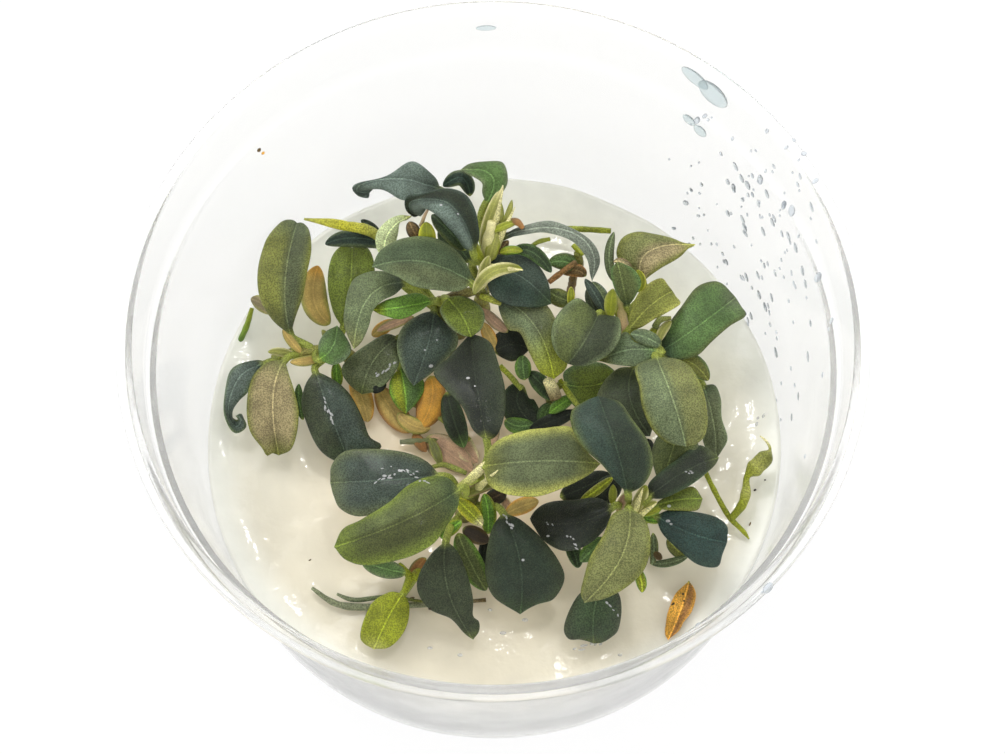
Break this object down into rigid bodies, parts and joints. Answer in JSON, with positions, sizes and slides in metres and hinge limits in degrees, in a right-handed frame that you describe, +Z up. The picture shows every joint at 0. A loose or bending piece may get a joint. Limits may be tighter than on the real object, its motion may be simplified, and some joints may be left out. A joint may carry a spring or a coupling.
{
  "type": "bucephalandra in a culture cup",
  "caption": "Clump of young broad-leaved aquarium plantlets on short stems, standing in pale gel in a clear, tapered, open culture cup.",
  "frame": {"origin": "centre of the cup's flat underside", "axes": "+Z up out of the cup's mouth, +Y towards the far side as seen in the picture, +X to its right"},
  "size_m": [0.089, 0.089, 0.051],
  "materials": {
    "cup": "clear, smooth",
    "gel": "wet, cloudy cream",
    "stem": "satin",
    "root": "satin",
    "leaf_dark": "satin, finely speckled",
    "leaf_slate": "satin, finely speckled",
    "leaf_teal": "satin, finely speckled",
    "leaf_grey_green": "satin, finely speckled",
    "leaf_olive": "satin, finely speckled",
    "leaf_pale_olive": "satin, finely speckled",
    "leaf_fresh": "satin, finely speckled",
    "leaf_lime": "satin, finely speckled",
    "leaf_rosy": "satin, finely speckled",
    "leaf_amber": "satin, shed and browning"
  },
  "bodies": {
    "root": {"cup": "cup", "gel": "gel", "stem_back": "stem", "stem_centre": "stem", "stem_left": "stem", "stem_back_right": "stem", "stem_middle": "stem", "stem_right": "stem", "stem_front_right": "stem", "stem_front": "stem", "stem_front_left": "stem", "leaf_upper_left_1": "leaf_olive", "leaf_upper_left_2": "leaf_olive", "leaf_upper_left_3": "leaf_grey_green", "leaf_upper_left_4": "leaf_grey_green", "leaf_back_1": "leaf_slate", "leaf_back_2": "leaf_fresh", "leaf_back_3": "leaf_slate", "leaf_back_4": "leaf_grey_green", "leaf_back_5": "leaf_dark", "leaf_back_6": "leaf_slate", "leaf_back_7": "leaf_grey_green", "leaf_centre_1": "leaf_fresh", "leaf_centre_2": "leaf_fresh", "leaf_centre_3": "leaf_teal", "leaf_centre_4": "leaf_dark", "leaf_centre_5": "leaf_fresh", "leaf_left_1": "leaf_rosy", "leaf_left_2": "leaf_teal", "leaf_left_3": "leaf_dark", "leaf_left_4": "leaf_fresh", "leaf_right_1": "leaf_grey_green", "leaf_right_2": "leaf_fresh", "leaf_right_3": "leaf_olive", "leaf_right_4": "leaf_teal", "leaf_right_5": "leaf_olive", "leaf_right_6": "leaf_fresh", "leaf_right_7": "leaf_grey_green", "leaf_right_8": "leaf_teal", "leaf_middle_1": "leaf_teal", "leaf_middle_2": "leaf_olive", "leaf_front_right_1": "leaf_teal", "leaf_front_right_2": "leaf_pale_olive", "leaf_front_right_3": "leaf_teal", "leaf_front_right_4": "leaf_dark", "leaf_front_right_5": "leaf_olive", "leaf_front_right_6": "leaf_slate", "leaf_front_right_7": "leaf_olive", "leaf_front_right_8": "leaf_dark", "leaf_front_1": "leaf_pale_olive", "leaf_front_2": "leaf_dark", "leaf_front_3": "leaf_olive", "leaf_front_4": "leaf_dark", "leaf_front_5": "leaf_slate", "leaf_front_6": "leaf_dark", "leaf_front_left_1": "leaf_lime", "rolled_shoot": "leaf_lime", "spear_upper_left": "leaf_lime", "root_front": "root", "fallen_leaf": "leaf_amber"}
  },
  "joints": []
}
